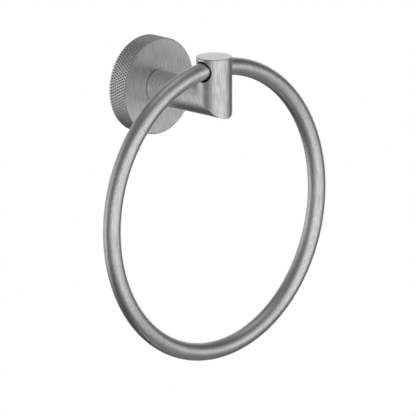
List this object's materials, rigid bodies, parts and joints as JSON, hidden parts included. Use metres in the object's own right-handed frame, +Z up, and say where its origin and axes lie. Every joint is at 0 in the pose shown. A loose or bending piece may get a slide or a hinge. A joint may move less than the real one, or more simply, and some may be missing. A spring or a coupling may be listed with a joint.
{
  "type": "towel ring",
  "caption": "Wall-mounted towel ring: round knurled flange, mitred round post and a loose round bar ring hanging in a cross bore.",
  "frame": {"origin": "on the wall plane, at the centre of the flange's back and of the two wall screw holes, on the stem's axis", "axes": "+Y into the wall, +Z up, +X to the right of someone who faces the wall; the fitting stands out along -Y"},
  "size_m": [0.1807, 0.0693, 0.1857],
  "materials": {
    "brushed_metal": "brushed satin, fine upright grain",
    "bracket_metal": "turned, dull",
    "screw_steel": "zinc plated, satin"
  },
  "bodies": {
    "wall_fitting": {"flange_cover": "brushed_metal", "arm_post": "brushed_metal", "wall_bracket": "bracket_metal", "stem_bolt": "screw_steel", "lock_washer": "screw_steel", "flange_set_screw": "screw_steel"},
    "hanging_ring": {"ring": "brushed_metal"}
  },
  "joints": [
    {"name": "ring_swing", "type": "hinge", "parent": "wall_fitting", "child": "hanging_ring", "pos_m": [0, -0.05875, 0.0176], "axis": [-1, 0, 0], "range_deg": [-18, 198]}
  ]
}
